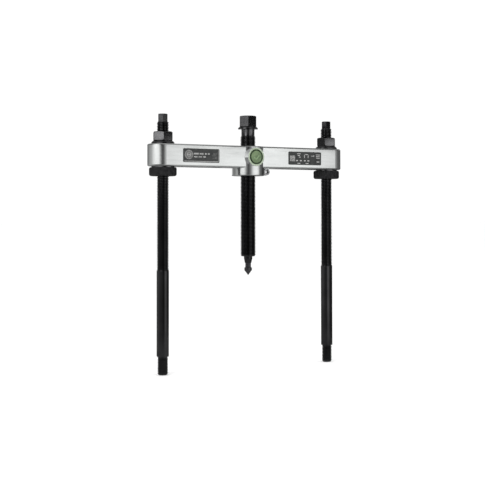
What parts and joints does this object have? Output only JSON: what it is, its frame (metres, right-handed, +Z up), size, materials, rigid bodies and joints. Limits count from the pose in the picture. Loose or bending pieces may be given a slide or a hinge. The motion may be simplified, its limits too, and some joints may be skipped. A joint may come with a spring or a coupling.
{
  "type": "gear puller",
  "caption": "Crossbeam puller: slotted bar with a central forcing screw and two hanging pull rods, for drawing gears and bearings off shafts.",
  "frame": {"origin": "on the pressure screw's axis, level with the bottom ends of the pull rods", "axes": "+Z up along the pressure screw, X along the crossbeam, -Y towards the badge side"},
  "size_m": [0.295, 0.045, 0.3385],
  "materials": {
    "beam_steel": "polished nickel",
    "fastener_steel": "bright",
    "label_metal": "satin printed plate",
    "bezel": "dark enamel",
    "badge_green": "green enamel",
    "black_steel": "black oxide, oiled",
    "tip_steel": "hardened and blackened",
    "spring_steel": "bright"
  },
  "bodies": {
    "crossbeam": {"crossbeam": "beam_steel", "clamp_screw": "fastener_steel", "label_left": "label_metal", "label_right": "label_metal", "badge_bezel": "bezel", "badge_disc": "badge_green"},
    "tip": {"centring_tip": "tip_steel", "tip_retainer": "spring_steel"},
    "screw": {"pressure_screw": "black_steel", "thrust_ball": "spring_steel"},
    "carrier_left": {"cone_washer_left": "black_steel", "flat_washer_left": "black_steel"},
    "carrier_right": {"cone_washer_right": "black_steel", "flat_washer_right": "black_steel"},
    "nut_left": {"upper_nut_left": "black_steel"},
    "nut_right": {"upper_nut_right": "black_steel"},
    "lock_left": {"round_nut_left": "black_steel"},
    "lock_right": {"round_nut_right": "black_steel"},
    "rod_left": {"rod_left": "black_steel"},
    "rod_right": {"rod_right": "black_steel"}
  },
  "joints": [
    {"name": "screw_feed", "type": "slide", "parent": "crossbeam", "child": "tip", "axis": [0, 0, 1], "range_m": [-0.023, 0.104]},
    {"name": "screw_turn", "type": "hinge", "parent": "tip", "child": "screw", "pos_m": [0, 0, 0.328], "axis": [0, 0, 1], "range_deg": [-4560, 20600]},
    {"name": "span_left", "type": "slide", "parent": "crossbeam", "child": "carrier_left", "axis": [-1, 0, 0], "range_m": [-0.077, 0.003]},
    {"name": "span_right", "type": "slide", "parent": "crossbeam", "child": "carrier_right", "axis": [1, 0, 0], "range_m": [-0.077, 0.003]},
    {"name": "nut_turn_left", "type": "hinge", "parent": "carrier_left", "child": "nut_left", "pos_m": [-0.127, 0, 0.307], "axis": [0, 0, 1], "range_deg": [-21240, 2160]},
    {"name": "nut_turn_right", "type": "hinge", "parent": "carrier_right", "child": "nut_right", "pos_m": [0.127, 0, 0.307], "axis": [0, 0, 1], "range_deg": [-21240, 2160]},
    {"name": "lock_turn_left", "type": "hinge", "parent": "carrier_left", "child": "lock_left", "pos_m": [-0.127, 0, 0.261], "axis": [0, 0, 1], "range_deg": [-21240, 2160]},
    {"name": "lock_turn_right", "type": "hinge", "parent": "carrier_right", "child": "lock_right", "pos_m": [0.127, 0, 0.261], "axis": [0, 0, 1], "range_deg": [-21240, 2160]},
    {"name": "rod_feed_left", "type": "slide", "parent": "carrier_left", "child": "rod_left", "axis": [0, 0, 1], "range_m": [-0.0121, 0.1181]},
    {"name": "rod_feed_right", "type": "slide", "parent": "carrier_right", "child": "rod_right", "axis": [0, 0, 1], "range_m": [-0.0121, 0.1181]}
  ],
  "couplings": [
    {"joint": "screw_feed", "follows": "screw_turn", "m_per_rad": 0.00028875},
    {"joint": "lock_turn_left", "follows": "nut_turn_left", "ratio": 1},
    {"joint": "lock_turn_right", "follows": "nut_turn_right", "ratio": 1},
    {"joint": "rod_feed_left", "follows": "nut_turn_left", "m_per_rad": -0.00031831},
    {"joint": "rod_feed_right", "follows": "nut_turn_right", "m_per_rad": -0.00031831}
  ]
}
